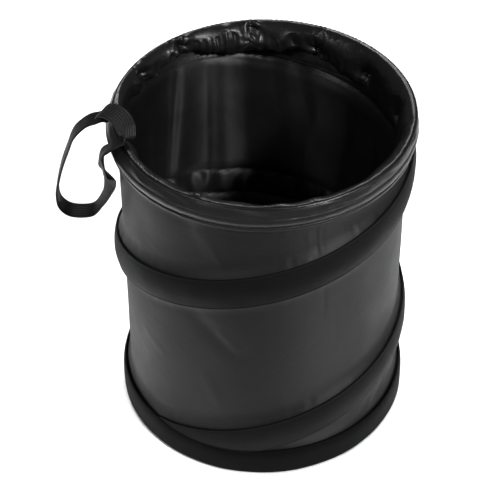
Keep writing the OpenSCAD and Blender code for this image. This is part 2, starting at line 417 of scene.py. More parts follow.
def drawn_in(near, z):
    """How far wall and lining draw in between the spiral, the base band and the rim, in mm."""
    by_sleeve = eased(np.abs(near) - SLEEVE / 2 + 1)
    return WAIST * by_sleeve * eased(z - BASE_BAND + 1) * eased(RIM_LOW + 2 - z)


def stands_for(obj, body, solid):
    """Puts a piece on its body in place of one of the frame's solids, which it hides."""
    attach(obj, body)
    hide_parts(solid)


def flattened(obj, foot, top, flat_top):
    """Gives a piece its own copy of its mesh; it does not fold it down. foot, top and
    flat_top, in mm, are not used."""
    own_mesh(obj)


# The coil lies between the foot's band and the rim when the bin is flat: foot, top, flat top
COIL = (BASE_BAND + 0.3, RIM_LOW - 0.9, RIM_LOW - COLLAPSE - 0.3)

# Creases of the wall that the photograph shows, each as creases takes it
WALL_MARKS = [
    (240.5, 229, 248.7, 190, -0.75, 4.5, "step"), (250.5, 201, 256.5, 180, 0.45, 2.2),
    (238, 143, 262, 108, -1.1, 7.5), (252, 129, 261, 112, 0.7, 3.5), (246, 86, 252, 60, 0.5, 5),
    (290.5, 216, 291.5, 194, -0.55, 1.4), (293.5, 213, 293.6, 196, -0.35, 1.2),
    (287.5, 214, 288.5, 200, 0.3, 1.6), (295.2, 215, 294.3, 206, 0.35, 1.3),
    (306, 212, 308, 197, -0.3, 1.3), (302, 213, 303, 200, 0.25, 1.5),
    (295, 164, 295.2, 138, -0.45, 1.6), (299.5, 143, 301, 108, -0.35, 1.8),
    (212, 95, 226, 86, 0.3, 2.5), (305, 26, 318, 30, 0.9, 1.6), (318, 25, 332, 36, 1.1, 2.0),
    (309, 33, 322, 43, -0.9, 2.4), (326, 29, 345, 41, -0.8, 2.2), (110, 120, 118, 80, -0.8, 6),
    (60, 180, 72, 140, 0.7, 7), (20, 150, 30, 110, -0.8, 7), (150, 90, 140, 50, 0.7, 6),
]


def build_wall():
    az, z = COLUMN_AZ, np.linspace(0.8, WALL_TOP, 84)[:, None]
    near = from_spiral(az, z)
    from_edge = np.abs(near) - SLEEVE / 2
    free = np.clip(from_edge / 14, 0, 1)
    ends = np.clip((z - BASE_BAND) / 14, 0, 1) * np.clip((RIM_LOW - z) / 12, 0, 1)
    relief = creases(az, z, WALL_R, WALL_MARKS) * np.clip(ends * 3, 0, 1)
    relief += free * ends * (0.45 * waves(az, z, 3, 7, 2, 9, 1.2) + 0.2)
    # Fine gathers beside the sleeve's seams and under the rim
    gather = hump((from_edge - 2) / 6) + hump((RIM_LOW - z - 2) / 6)
    relief += 0.10 * gather * np.clip(ends * 4, 0, 1) * waves(az, z, 11, 9, 40, 90, 0.5)
    points = polar(az, WALL_R + relief - drawn_in(near, z), z)
    uv = cloth_uv(np.radians(np.linspace(0, 360, AROUND + 1)) * WALL_R, z[:, 0])
    obj = thicken(surface("outer_wall", points, uv, WALL_CLOTH, ring=True), FABRIC)
    stands_for(obj, "base", "body_wall")
    flattened(obj, 0, WALL_TOP, WALL_TOP - COLLAPSE)


# Creases of the lining on its far side, as creases takes them
LINING_MARKS = [
    (128, 212, 136.5, 100, 1.6, 3.0, "step"), (131, 216, 139, 90, 0.9, 4.0),
    (113.5, 214, 114.5, 100, 0.5, 2.4, "step"), (107, 216, 106.5, 90, 0.9, 6.0),
    (97, 214, 97, 100, -0.8, 7.0), (76, 216, 68, 160, 1.0, 6.0), (84, 210, 78, 150, -0.7, 6),
    (47, 185, 53, 90, 1.5, 7.0, "step"), (58, 180, 62, 120, -0.6, 5.0),
    (148, 200, 150, 110, -0.8, 4.0), (156, 200, 158, 110, 0.8, 4.0),
    (165, 200, 166, 110, -0.7, 4.0), (32, 170, 36, 100, -1.0, 5),
]


# Height by azimuth of the seam that closes the rim's turning on the lining
HEM_Z = {0: 207, 34: 206.5, 47: 205.8, 62: 206.2, 75: 208.8, 87: 212.4, 99: 215.2, 112: 217,
         130: 220, 146: 222, 190: 222, 262: 220, 320: 212}


def build_lining():
    inner = LINING_R - FABRIC
    # Columns lie closer on the far side, which the photograph shows, and rows closer by the rim
    rounds = np.r_[np.linspace(-10, 190, 230, endpoint=False), np.linspace(190, 350, 101)]
    az = rounds[None, :-1]
    z = np.r_[np.linspace(WALL_TOP, 200, 38), np.linspace(199, 64, 74),
              np.linspace(60, 4.2, 14), 2.9, 2.2, 2.1][:, None]
    near = from_spiral(az, z)
    from_edge = np.abs(near) - SLEEVE / 2
    ends = np.clip((z - 10) / 20, 0, 1) * np.clip((RIM_LOW - z) / 10, 0, 1)
    relief = -creases(az, z, WALL_R, LINING_MARKS) * ends
    relief -= ends * (0.5 + 0.5 * waves(az, z, 21, 8, 3, 14, 0.9))
    # The sleeve's seams show inside as a sunk row beside a raised one
    row = hump((from_edge + 1.5) / 1.3)
    relief -= 0.5 * hump((from_edge - 1.2) / 1.3) * ends
    relief += 0.7 * row * ends - 0.12 * row * waves(az, z, 8, 9, 60, 110, 0.3)
    # Between them loose cloth stands in pouches, most of all low on the far side
    lower = hump(turn_from(az, 100) / 34) * np.clip((150 - z) / 20, 0, 1)
    pouch = np.clip(1 - (near / (SLEEVE / 2 - 2)) ** 2, 0, 1) ** 0.7
    relief -= ends * pouch * (0.5 + 2.2 * lower) * (1 + 0.8 * waves(az, z, 9, 9, 14, 46, 3.5))
    # Hem of the rim's turning: a second thickness of cloth down to a seam
    above = z - around(HEM_Z, az)
    relief -= 0.5 * (1 + np.tanh(above / 0.5)) / 2 * np.clip((232 - z) / 4, 0, 1)
    relief -= 0.45 * hump((above - 0.4) / 0.7) - 0.4 * hump((above - 2.2) / 0.6)
    rings = np.where(z > 4, inner, np.where(z > 2.5, inner - 0.5, inner - 1.6))
    side = polar(az, rings + np.minimum(relief, 0.1) - drawn_in(near, z), z)
    share = np.linspace(0.982, 0.02, 12)[:, None]
    slump = 0.16 * waves(az, share * 100, 31, 6, 1, 5, 2.0) * share * (1 - share) * 4
    base = polar(az, inner * share, FLOOR_Z + FABRIC + slump)
    points = np.concatenate([side, base])
    uv = cloth_uv(np.radians(rounds) * inner, length_along(points[:, 0]))
    obj = surface("liner_bag", points, uv, LINING_CLOTH, ring=True)
    close(obj, [range(-az.size, 0)])
    thicken(obj, FABRIC, offset=1.0)
    stands_for(obj, "base", "lining")
    flattened(obj, FLOOR_Z, WALL_TOP, WALL_TOP - COLLAPSE)


# Sewn bands

def loop_uv(points):
    """UV in metres for a profile swept round: u along the sweep, v along the profile."""
    along = np.linalg.norm(np.diff(points, axis=1, append=points[:, :1]), axis=-1).mean(0)
    return cloth_uv(np.r_[0, np.cumsum(along)], length_along(points[:, 0]))


def profile_ring(name, line, relief, material, step_mm=0.9):
    """Sheet of cloth revolved from a profile of (r, z), moved by relief(az, share, z)."""
    line = np.array(line, float)
    step = length_along(line)
    share = np.linspace(0, 1, int(step[-1] / step_mm))
    r = np.interp(share * step[-1], step, line[:, 0])[:, None]
    z = np.interp(share * step[-1], step, line[:, 1])[:, None]
    dr, dz = relief(COLUMN_AZ, share[:, None], z)
    points = polar(COLUMN_AZ, r + dr, z + dz)
    obj = surface(name, points, loop_uv(points), material, ring=True)
    return thicken(obj, FABRIC)


def arc(r, z, wide, tall, a0, a1, count=9):
    """Points of an elliptic arc round (r, z), from one angle to another in degrees."""
    return [(r + wide * math.cos(math.radians(a)), z + tall * math.sin(math.radians(a)))
            for a in np.linspace(a0, a1, count)]


def build_base_band():
    # Profile from under the floor, round the foot's edge and up, and over its top onto the wall
    crown = 0.42 * BASE_BAND
    line = [(WALL_R - 3.4, 0.35), (WALL_R - 1, 0.1)] + arc(RIM_R - 3, 3, 3, 3, -88, 0) \
        + [(RIM_R + 0.05, 8)] + arc(SEAT_R, BASE_BAND - crown, LIFT, crown, 0, 90, 12) \
        + [(SEAT_R - 0.5, BASE_BAND)]

    def relief(az, share, z):
        wave = 0.18 * waves(az, 0, 41, 6, 3, 16) * np.sin(np.pi * share)
        pucker = 0.07 * hump((share - 0.86) / 0.06) * waves(az, 0, 43, 8, 70, 120)
        return wave + pucker, 0.5 * waves(az, 0, 44, 4, 1, 6) * np.clip((share - 0.5) * 2, 0, 1)

    # The foot's band takes the same cloth darkened with painted shade
    obj = profile_ring("foot_band", line, relief, SHADED_FOOT_CLOTH)
    stands_for(obj, "base", "base_band")


# Azimuth where the strap's ring bears on the rim, how far it nips it inwards and presses it
# down, and from what height up
STRAP_AZ, NIP, PRESS, PRESSED_FROM = 203.0, 2.2, 1.3, 232.6
# Height of the seam that closes the rim casing
RIM_SEAM_Z = 225.3
# How far the rim's top leans to the right, from the height where the casing's wire ends
RIM_LEAN, LEAN_FROM = 1.2, 233


def rim_lean(az, z):
    """How far the rim leans outwards at an azimuth and a height, in mm."""
    return RIM_LEAN * np.cos(np.radians(az)) * np.clip((z - LEAN_FROM) / 6, 0, 1)


def by_strap(az):
    """1 where the strap bears on the rim, falling to 0 beside it."""
    return hump(turn_from(az, STRAP_AZ) / 10)


def under_strap(az, z):
    """How far the strap presses the rim down at a height z, in mm."""
    return PRESS * by_strap(az) * np.clip((z - PRESSED_FROM) / 7, 0, 1.2)


# Creases of the rim casing, as creases takes them
CASING_MARKS = [
    (261, 239.5, 279, 232.5, 0.5, 1.6, "step"), (214, 238.5, 224, 234, 0.5, 1.8),
    (236, 239, 247, 235, -0.35, 1.6), (292, 238.5, 306, 234, 0.35, 1.5),
    (320, 238, 330, 234, -0.4, 1.6), (340, 239, 352, 233, 0.4, 2.0),
]


def build_casing():
    # Profile from the hem, past its seam's groove, over the wire's ridge and round the rim's top
    line = [(SEAT_R - 0.4, 222.9), (SEAT_R + 0.1, 222.5), (SEAT_R + 0.55, 222.9),
            (SEAT_R + 0.6, 224.5), (SEAT_R - 0.2, RIM_SEAM_Z), (SEAT_R + 0.6, 226.1),
            (RIM_R - 0.7, 227.6), (RIM_R - 0.1, 229.0), (RIM_R + 0.15, 230.4),
            (RIM_R + 0.05, 231.8), (RIM_R - 0.3, 232.7), (RIM_R - 0.8, 233.2),
            (RIM_R - 0.72, 234.0), (RIM_R - 1.0, 236.0), (RIM_R - 1.6, 237.8),
            (RIM_R - 2.3, 239.2), (RIM_R - 3.0, 240.0), (RIM_R - 3.8, 240.1),
            (RIM_R - 4.6, 239.5), (RIM_R - 4.9, 238.2)]

    def relief(az, share, z):
        slack = np.clip((z - 233) / 2, 0, 1) * np.clip((241 - z) / 2.5, 0, 1)
        near = by_strap(az)
        wave = 0.3 * slack * waves(az, z, 51, 8, 5, 24, 6) * (1 - 0.8 * near)
        wave += creases(az, z, RIM_R, CASING_MARKS) * slack
        wave += 0.12 * waves(az, z, 52, 8, 20, 60, 4) * (1 - near)
        squeeze = -NIP * near * np.clip((z - PRESSED_FROM) / 5, 0, 1)
        pucker = 0.10 * hump((z - RIM_SEAM_Z) / 1.2) * waves(az, 0, 53, 8, 80, 130)
        return wave + squeeze + pucker + rim_lean(az, z), -under_strap(az, z)

    obj = profile_ring("rim_casing_cloth", line, relief, CASING_CLOTH, step_mm=0.5)
    stands_for(obj, "rim", "rim_casing")


def build_sleeve():
    """Strip of matte cloth over the spiral wire, its edges turned under and sewn down. Gives back
    the shares of the spiral that it covers."""
    half, low, high = SLEEVE / 2, BASE_BAND + 0.3, RIM_LOW - 0.9
    s = np.linspace(0, 1.09, 1150)
    z = spiral_z(s)
    keep = (z + half > low + 0.8) & (z - half < high - 0.8)
    s, z = s[keep], z[keep]
    az, top, bottom = spiral_angle(s), np.minimum(z + half, high), np.maximum(z - half, low)
    # Rows across the strip, closer at its turned edges
    edge_rows = np.array([0.95, 0.965, 0.98, 0.995, 1])
    across = np.r_[-edge_rows[::-1], np.linspace(-0.92, 0.92, 29), edge_rows][:, None]
    line = bottom + (top - bottom) * (across + 1) / 2
    far = np.minimum(1, np.abs(line - z) / half)
    rise = LIFT * np.cos(np.pi / 2 * far) ** 0.8
    turned = np.clip((1 - np.abs(across)) / 0.02, 0, 1) ** 0.5
    edge = turned + 0.5 * hump((np.abs(across) - 0.95) / 0.04)
    run = spiral_angle(s) / 360 * 2 * math.pi * WALL_R
    sewn = hump((np.abs(across) - 0.86) / 0.045)
    pull = sewn * (0.16 + 0.10 * np.cos(2 * math.pi * run / STITCH_STEP))
    soft = 0.14 * waves(az, line, 61, 8, 8, 30, 2) * (1 - far)
    out = polar(az, SEAT_R - 0.35 + 0.45 * edge + rise - pull + soft, line)
    # The back lies on the wall and needs only every twelfth row
    back = polar(az, WALL_R, line[::-12])
    points = np.concatenate([out, back])
    # Round the section in a column, the 300th, where the strip has its full width
    whole = points[:, 300]
    uv = cloth_uv(run, length_along(np.vstack([whole, whole[:1]])))
    obj = surface("spiral_sleeve_cloth", points, uv, BAND_CLOTH, tube=True)
    close_ends(obj, len(points), len(s))
    stands_for(obj, "base", "spiral_sleeve")
    flattened(obj, *COIL)
    return s


def build_wire():
    """Spiral spring wire in its sleeve, from just over the foot's band to just under the rim."""
    sides, clear = 12, 1.4
    s = np.linspace(0, 1, 480)
    z = spiral_z(s)
    keep = (z > BASE_BAND + clear) & (z < RIM_LOW - clear)
    s, z = s[keep], z[keep]
    turn = np.radians(np.linspace(0, 360, sides, endpoint=False))[::-1, None]
    points = polar(spiral_angle(s), WIRE_R + WIRE / 2 * np.cos(turn), z + WIRE / 2 * np.sin(turn))
    round_it = np.linspace(0, math.pi * WIRE, sides + 1)
    uv = cloth_uv(np.radians(spiral_angle(s)) * WIRE_R, round_it)
    obj = surface("spring_wire", points, uv, STEEL, tube=True)
    close_ends(obj, len(points), len(s))
    stands_for(obj, "base", "spiral_spring")
    flattened(obj, *COIL)


# Gathered facing

# Share of an error in length that one pass takes away: along threads, on the bias, and where
# three threads in a row bend sharply
ALONG, BIAS, BEND = 0.25, 0.06, 0.05


def pulled(d, rest, share, only_push=False):
    """Part of a difference vector that brings it nearer to its length at rest."""
    length = np.linalg.norm(d, axis=-1)
    over = (length - rest) / np.maximum(length, 1e-6)
    if only_push:
        over = np.minimum(over, 0)
    return d * (over * share)[..., None]


def settle(p, rest_u, rest_v, held, passes, wall, blow):
    """Lets a ring of cloth find its folds: threads keep their length, neighbours resist sharp
    bends, and nothing goes through the wall. Positions and lengths are in mm. blow is how far
    each pass pushes the cloth inwards and up."""
    free = (~held)[..., None].astype(float)
    old = p.copy()
    rest_d = np.hypot(rest_u[:-1], rest_v)
    for _ in range(passes):
        move = (p - old) * 0.9
        old = p.copy()
        p = p + move * free
        rad = np.hypot(p[..., 0], p[..., 1])
        p[..., :2] *= (1 - blow[0] / rad * free[..., 0])[..., None]
        p[..., 2] += blow[1] * free[..., 0]
        for _ in range(3):
            shift = np.zeros_like(p)
            c = pulled(np.roll(p, -1, 1) - p, rest_u, ALONG)
            shift += c - np.roll(c, 1, 1)
            c = pulled(p[1:] - p[:-1], rest_v, ALONG)
            shift[:-1] += c
            shift[1:] -= c
            c = pulled(np.roll(p[1:], -1, 1) - p[:-1], rest_d, BIAS)
            shift[:-1] += c
            shift[1:] -= np.roll(c, 1, 1)
            c = pulled(p[1:] - np.roll(p[:-1], -1, 1), rest_d, BIAS)
            shift[1:] += c
            shift[:-1] -= np.roll(c, 1, 1)
            c = pulled(np.roll(p, -3, 1) - p, rest_u * 2.9, BEND, True)
            shift += c - np.roll(c, 3, 1)
            c = pulled(p[3:] - p[:-3], rest_v[2:] * 2.8, BEND, True)
            shift[:-3] += c
            shift[3:] -= c
            p = p + shift * free
            p = wall(p, free)
    return p


# Heights by azimuth of the elastic's line, of the puffs' foot, and how far the puffs stand out
ELASTIC_Z = {0: 222, 20: 223, 42: 223.4, 54: 224.8, 66: 225.7, 77: 228.1, 87: 232.5, 95: 236.2,
             102: 237.2, 112: 238.6, 119: 238.6, 127: 235.6, 131: 237, 142: 235.4, 155: 232.2,
             168: 234.2, 180: 231.5, 200: 231.5, 262: 232, 290: 231, 320: 228, 345: 223}
FOOT_Z = {0: 210, 20: 210, 35: 211, 45: 213, 53: 215.5, 60: 219, 66: 221.8, 77: 221, 87: 220.5,
          96: 220, 103: 219.5, 112: 223, 118: 227, 127: 229, 135: 228, 144: 225.5, 155: 225.5,
          170: 227, 200: 226, 262: 225, 300: 220, 340: 212}
PUFF = {0: 3.0, 40: 3.4, 66: 1.5, 80: 3.6, 104: 4.6, 118: 4.2, 127: 1.6, 136: 3.4, 150: 2.6,
        184: 1.8, 220: 1.6, 300: 1.8, 340: 2.4}
# Depth by azimuth of the fine pleats in the puffs, in mm
PLEATS = {0: 0.15, 55: 0.25, 70: 0.35, 92: 0.5, 97: 0.75, 118: 0.75, 125: 0.35, 150: 0.4,
          175: 0.25, 200: 0.14, 340: 0.15}
# Where the elastic is tacked to the wall, with how wide the folds fan out, in degrees
PINCHES = [(127, 7), (95, 7.5), (66, 7), (152, 5), (38, 4), (8, 4), (338, 3.5), (306, 3.5),
           (276, 3), (244, 3.5), (216, 3.5)]


def finer(p):
    """Twice as many rows and columns through the same points, smoothly."""
    mid = (9 * (p + np.roll(p, -1, 1)) - np.roll(p, 1, 1) - np.roll(p, -2, 1)) / 16
    p = np.stack([p, mid], 2).reshape(p.shape[0], -1, 3)
    wide = np.concatenate([2 * p[:1] - p[1:2], p, 2 * p[-1:] - p[-2:-1]])
    mid = (9 * (wide[1:-2] + wide[2:-1]) - wide[:-3] - wide[3:]) / 16
    both = np.stack([p[:-1], mid], 1).reshape(-1, p.shape[1], 3)
    return np.concatenate([both, p[-1:]])


def pleated(p, tack_row):
    """Adds the fine creases that run out from every tack of the elastic, and the puffs' pleats."""
    across = np.roll(p, -1, 1) - np.roll(p, 1, 1)
    normal = unit(np.cross(across, np.gradient(p, axis=0)))
    total = np.zeros(p.shape[:2])
    for number, (pinch, fan) in enumerate(PINCHES):
        tack = p[tack_row, int(round(pinch * p.shape[1] / 360)) % p.shape[1]]
        away = p - tack
        a = math.radians(pinch)
        x = -away[..., 0] * math.sin(a) + away[..., 1] * math.cos(a)
        y = away[..., 2] - away[..., 0] * math.cos(a) - away[..., 1] * math.sin(a)
        far = np.linalg.norm(away, axis=-1)
        turn = np.arctan2(y, x)
        crease = np.cos((9 + number % 3) * turn + 1.5 * np.sin(3 * turn + number))
        total += crease * np.clip(far / 3, 0, 1) * hump(far / (fan * 1.7))
    row = np.arange(len(p))
    edge = np.clip(np.minimum(row - 5, len(p) - 2 - row) / 6, 0, 1)[:, None]
    az = np.degrees(np.arctan2(p[..., 1], p[..., 0])) % 360
    fine = around(PLEATS, az) * (waves(az, p[..., 2], 78, 10, 40, 88, 3.0)
                                 + 0.45 * waves(az, p[..., 2], 79, 10, 90, 140, 4.0))
    low = np.clip((row - tack_row + 7) / 6, 0, 1)[:, None] * edge
    return p + normal * (0.5 * total * edge + fine * low)[..., None]


# Rows and columns of the facing before it is made finer, and the row that is its elastic
FACING_ROWS, FACING_COLS, ELASTIC_ROW = 32, 360, 19
# Which point of the facing's outline is the elastic
ELASTIC_POINT = 6


def facing_outline(az):
    """The facing's section as points of (r, z), an array of columns for each: from the rim's
    edge over its crown and shoulder to the elastic, and round the puff to its foot."""
    one, tight = np.ones(az.size), by_strap(az)
    z_e, foot, puff = around(ELASTIC_Z, az), around(FOOT_Z, az), around(PUFF, az)
    skirt, foot_r = z_e - foot, 93.2 - WAIST * eased(RIM_LOW + 2 - foot)
    away = np.clip((np.sin(np.radians(az)) + 0.3) / 0.6, 0, 1)
    crest = 241.6 - 1.0 * away
    tack = sum(hump(turn_from(az, pinch) / 2.5) for pinch, _ in PINCHES)
    r_e = 90.6 + 2.4 * tack
    inner = 89.6 + 1.8 * away
    shoulder = np.maximum(z_e + 0.6, crest - 3)
    shape = np.stack([np.stack(pair, -1) for pair in (
        (97.7 * one, 239.3 * one), (97.1 * one, 240.3 * one),
        (95.4 * one, crest - 0.5), (93.6 + 0.6 * away, crest),
        (91.4 + 0.9 * away, crest - 0.6),
        (inner, shoulder), (r_e, z_e), (r_e - 0.8 * puff, z_e - 0.2 * skirt),
        (r_e - puff, z_e - 0.45 * skirt), (r_e - 0.6 * puff, z_e - 0.75 * skirt),
        (foot_r, z_e - skirt))])
    lean = rim_lean(az, shape[..., 1])
    shape[..., 0] += lean - NIP * tight * (shape[..., 0] > 94)
    shape[..., 1] -= under_strap(az, shape[..., 1])
    return shape


def facing_rows(shape):
    """Rows of cloth along the outline, even down to the elastic and even again below it."""
    mark = np.linalg.norm(np.diff(shape, axis=0), axis=-1)
    mark = np.concatenate([np.zeros((1, FACING_COLS)), np.cumsum(mark, axis=0)])
    flat = np.zeros((FACING_ROWS, FACING_COLS, 2))
    for i in range(FACING_COLS):
        tacked = mark[ELASTIC_POINT, i]
        want = np.r_[np.linspace(0, tacked, ELASTIC_ROW + 1),
                     np.linspace(tacked, mark[-1, i], FACING_ROWS - ELASTIC_ROW)[1:]]
        for k in range(2):
            flat[:, i, k] = np.interp(want, mark[:, i], shape[:, i, k])
    return flat


def build_facing():
    az = np.linspace(0, 360, FACING_COLS, endpoint=False)
    flat = facing_rows(facing_outline(az))
    level = np.arange(FACING_ROWS)
    below = np.clip((level - ELASTIC_ROW) / 5, 0, 1)[:, None]
    # Every tack draws the cloth beside it together, most of all at the elastic
    grip = np.where(level <= ELASTIC_ROW, (level / ELASTIC_ROW) ** 2,
                    1 - 0.6 * (level - ELASTIC_ROW) / (FACING_ROWS - ELASTIC_ROW))
    shifted = az[None, :] + np.zeros((FACING_ROWS, 1))
    for pinch, fan in PINCHES:
        gap = turn_from(az, pinch)
        shifted = shifted - grip[:, None] * 0.74 * gap * hump(gap / fan)
    # First folds, shallow, for the solver to work on
    draw = np.random.default_rng(77)
    fold = waves(az[None, :], level[:, None], 71, 8, 18, 44, 1.2)
    ease = np.clip(level / 10, 0.05, 1)[:, None]
    r = flat[..., 0] + (0.35 + 0.75 * below) * fold * ease
    p = polar(shifted, r, flat[..., 1] + draw.normal(0, 0.05, flat.shape[:2]))
    # Lengths of the threads at rest: the cloth is fuller than its place below the elastic
    to_foot = np.clip((FACING_ROWS - 1 - level) / 3, 0, 1)[:, None]
    full = 1.012 + 0.10 * below * to_foot + 0 * az
    full[ELASTIC_ROW] = 1.0
    rest_u = 2 * math.pi * flat[..., 0] / FACING_COLS * full
    rest_u[:3] = np.linalg.norm(np.roll(p[:3], -1, 1) - p[:3], axis=-1)
    rest_v = np.linalg.norm(np.diff(flat, axis=0), axis=-1) * (1.01 + 0.14 * below[1:])
    # Its first rows are sewn to the rim, its last to the lining
    held = np.zeros(flat.shape[:2], bool)
    held[:3] = held[-1] = True
    for pinch, _ in PINCHES:
        held[ELASTIC_ROW, np.abs(turn_from(az, pinch)) < 1.2] = True
    press = PRESS * by_strap(az)
    # Radii that the cloth keeps within: inside the lining, on the rim, and inwards; from what
    # radius it lies on the rim, the rim's top there and just below it, and the crown's height
    in_lining, on_rim, inmost, rim_from = 94.3, 97.0, 84.8, 94.8
    rim_top, under_top, crown, nowhere = 240.3, 239.8, 242.4, 200

    def wall(q, free):
        """Keeps the cloth off the lining outside it, and on the rim it lies over."""
        rad = np.hypot(q[..., 0], q[..., 1])
        waist = WAIST * eased(RIM_LOW + 2 - q[..., 2])
        most = np.where(q[..., 2] < under_top - press, in_lining - waist, on_rim)
        want = np.clip(rad, inmost, most)
        q[..., :2] *= (1 + (want / rad - 1) * free[..., 0])[..., None]
        lowest = np.where(rad > rim_from, rim_top - press, nowhere)
        kept = np.clip(q[..., 2], lowest, crown - press)
        q[..., 2] = np.where(free[..., 0] > 0, kept, q[..., 2])
        return q

    collar = (np.clip(level / 4, 0, 1) * np.clip((ELASTIC_ROW - level) / 5, 0, 1))[:, None]
    blow = (0.006 * collar + 0.016 * below, 0.008 * collar - 0.004)
    p = settle(p, rest_u, rest_v, held, 200, wall, blow)
    for _ in range(2):
        inside = (p[:-2] + p[2:] + np.roll(p[1:-1], 1, 1) + np.roll(p[1:-1], -1, 1)) / 4
        p[1:-1] += 0.5 * (inside - p[1:-1])
    p = pleated(finer(p), 2 * ELASTIC_ROW)
    # The cloth runs a tenth longer than the ring of 96 mm that it is sewn to
    uv = cloth_uv(np.linspace(0, 2 * math.pi * 96 * 1.1, p.shape[1] + 1),
                  np.linspace(0, rest_v.sum(0).mean(), p.shape[0]))
    obj = surface("gathered_facing", p[::-1], uv, FACING_CLOTH, ring=True)
    thicken(obj, FACING_THICK, offset=0.0)
    stands_for(obj, "rim", "rim_facing")


# Hanging strap

def strap_at(out, y, up, wide=(0, 1, 0)):
    """Point of the strap's middle line, mm out from the rim, along it and above its height, and
    the way that the webbing's width lies."""
    return (-RIM_R - out, y, HEIGHT + up), wide


def strap_route():
    """The ring that stands on the rim, the strand that falls from it, the loop's foot, and the
    strand that climbs back and is sewn under the ring."""
    ring = [
        (1.5, -7.5, 3.0, (0.42, 0.91, 0)), (-1, -10, 6.2, (0.42, 0.91, 0)),
        (-6, -15.2, 9, (0.38, 0.92, 0.06)), (-11.8, -23, 10.1, (0.58, 0.81, 0.1)),
        (-14.9, -29.7, 8.8, (0.65, 0.76, 0)), (-15.8, -33.6, 6.2, (0.6, 0.8, 0)),
        (-14.9, -36, 4.2, (0.52, 0.85, 0)), (-12.2, -36.8, 3, (0.35, 0.93, -0.03)),
        (-9.4, -37, 1.4, (0.12, 0.96, -0.15)), (-6.4, -37.2, -1, (-0.05, 0.93, -0.33))]
    falling = [
        (-1.6, -35, -7.5, (-0.11, 0.85, -0.5)), (0.6, -31, -17, (-0.2, 0.9, -0.35)),
        (1.4, -23, -32, (-0.35, 0.93, -0.1)), (-0.5, -14, -43, (-0.6, 0.8, 0)),
        (-0.3, -10.5, -51, (-0.6, 0.8, 0)), (1.6, -7.5, -60, (-0.35, 0.93, 0)),
        (5.2, -4, -71.5, (-0.1, 1, 0))]
    foot = [
        (11.7, -1, -83.4), (19.4, 0, -86.6), (28.7, 0, -85.2), (34.5, 0, -79), (35.8, 0, -70),
        (34.5, 0, -60.6)]
    climbing = [
        (30.6, -1, -45), (25.3, -3, -29), (20.4, -4.5, -16), (11.6, -6.5, -5.4, (0.1, 1, 0)),
        (3.9, -8.5, -0.9, (0.25, 0.97, 0)), (-1.5, -10.5, 2.4, (0.35, 0.93, 0)),
        (-5.5, -12.5, 3.4, (0.38, 0.92, 0))]
    return [strap_at(*knot) for knot in ring + falling + foot + climbing]


def smooth_run(knots, steps):
    """Smooth line through all the knots, with so many steps from one to the next."""
    knots = np.vstack([knots[:1], knots, knots[-1:]])
    t = np.linspace(0, 1, steps, endpoint=False)[:, None]
    spans = []
    for i in range(1, len(knots) - 2):
        a, b, c, d = knots[i - 1:i + 3]
        spans.append(0.5 * (2 * b + (c - a) * t + (2 * a - 5 * b + 4 * c - d) * t ** 2
                            + (3 * b - a - 3 * c + d) * t ** 3))
    return np.vstack(spans + [knots[-1:]])


def build_strap():
    line = smooth_run(np.array([place + wide for place, wide in strap_route()], float), 12)
    centre, wide = line[:, :3], line[:, 3:]
    tangent = unit(np.gradient(centre, axis=0))
    wide = unit(wide - (wide * tangent).sum(1, keepdims=True) * tangent)
    out = np.cross(tangent, wide)
    # Section: ribs on both faces, each a cord of rubber under the yarn, and rounded selvedges
    ribs, half, thick = 8, WEB_WIDTH / 2, WEB_THICK / 2
    a = np.linspace(-1, 1, ribs * 7 + 1)
    cord = np.abs(np.cos(np.pi / 2 * ribs * (a + 1)))
    edge = np.sqrt(np.clip(1 - np.abs(a) ** 14, 0, 1))
    face = (thick - 0.45 + 0.65 * (1 - (1 - cord) ** 2)) * edge
    section = np.vstack([np.stack([a, face], -1), np.stack([a[::-1], -face[::-1]], -1)[1:-1]])
    points = centre[None] + wide[None] * (section[:, :1, None] * half) \
        + out[None] * section[:, 1:, None]
    run = length_along(centre)
    uv = cloth_uv(run, np.r_[section[:, 0] * half, section[0, 0] * half])
    obj = surface("strap_webbing", points, uv, WEBBING_CLOTH, tube=True)
    close_ends(obj, len(section), len(centre))
    stands_for(obj, "rim", "hanging_strap")
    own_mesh(obj)


# Stitches

def stitch_tree():
    """Geometry nodes that lay stitches along a seam: named sizes, ends in Realize and Material."""
    tree = bpy.data.node_groups.new("stitch_row", "GeometryNodeTree")
    for name, kind in (("Seam", "Geometry"), ("Spacing", "Float"), ("Length", "Float"),
                       ("Thickness", "Float"), ("Thread", "Material")):
        tree.interface.new_socket(name, in_out="INPUT", socket_type="NodeSocket" + kind)
    tree.interface.new_socket("Stitches", in_out="OUTPUT", socket_type="NodeSocketGeometry")
    given = node(tree, "NodeGroupInput").outputs
    line = node(tree, "GeometryNodeMeshToCurve", {"Mesh": given["Seam"]})
    steps = node(tree, "GeometryNodeResampleCurve", {"Curve": line.outputs[0],
                                                     "Length": given["Spacing"]}, mode="LENGTH")
    tangent = node(tree, "GeometryNodeInputTangent")
    turn = node(tree, "FunctionNodeAlignRotationToVector", {"Vector": tangent.outputs[0]},
                axis="Z")
    bead = node(tree, "GeometryNodeMeshUVSphere", {"Segments": 6, "Rings": 5, "Radius": 0.5})
    size = node(tree, "ShaderNodeCombineXYZ", {"X": given["Thickness"], "Y": given["Thickness"],
                                               "Z": given["Length"]})
    laid = node(tree, "GeometryNodeInstanceOnPoints", {
        "Points": steps.outputs[0], "Instance": bead.outputs[0], "Rotation": turn.outputs[0],
        "Scale": size.outputs[0]})
    real = node(tree, "GeometryNodeRealizeInstances", {0: laid.outputs[0]})
    done = node(tree, "GeometryNodeSetMaterial", {"Geometry": real.outputs[0],
                                                  "Material": given["Thread"]})
    node(tree, "NodeGroupOutput", {"Stitches": done.outputs[0]})
    return tree


STITCH_TREE = stitch_tree()


